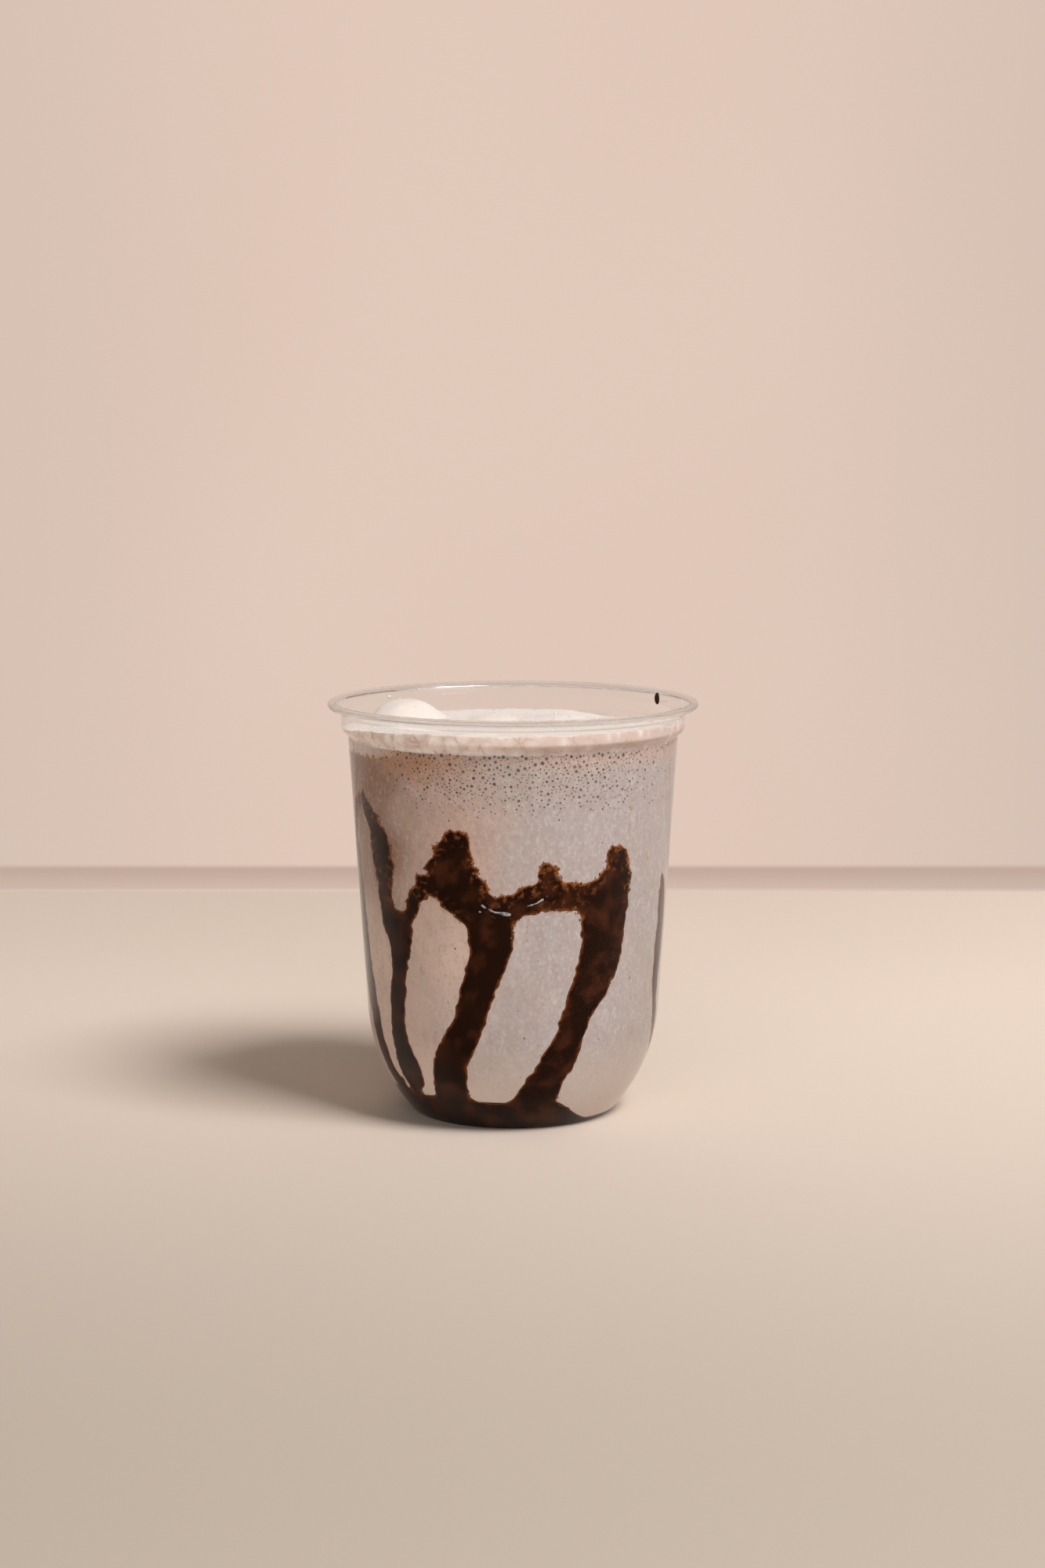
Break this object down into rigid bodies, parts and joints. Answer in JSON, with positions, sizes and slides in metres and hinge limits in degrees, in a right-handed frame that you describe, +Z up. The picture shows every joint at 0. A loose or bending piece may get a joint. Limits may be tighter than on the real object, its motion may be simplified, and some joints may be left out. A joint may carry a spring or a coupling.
{
  "type": "cookies and cream milkshake in a clear plastic cup",
  "caption": "Thick pale brown milkshake with a foam head and chocolate syrup at the base, in a clear round-heeled takeaway cup with a rolled lip.",
  "frame": {"origin": "centre of the cup's foot, on the surface that it stands on", "axes": "+Z up along the cup's axis, -Y towards the front, where the syrup shows best"},
  "size_m": [0.095, 0.095, 0.1064],
  "materials": {
    "clear_plastic": "clear, smooth and glossy",
    "milkshake": "pale pinkish brown drink with fine dark crumbs",
    "milk_foam": "pale cream froth, soft and bubbly",
    "chocolate_syrup": "very dark brown, wet"
  },
  "bodies": {
    "root": {"cup": "clear_plastic", "milkshake": "milkshake", "foam_head": "milk_foam", "syrup_pool": "chocolate_syrup"}
  },
  "joints": []
}
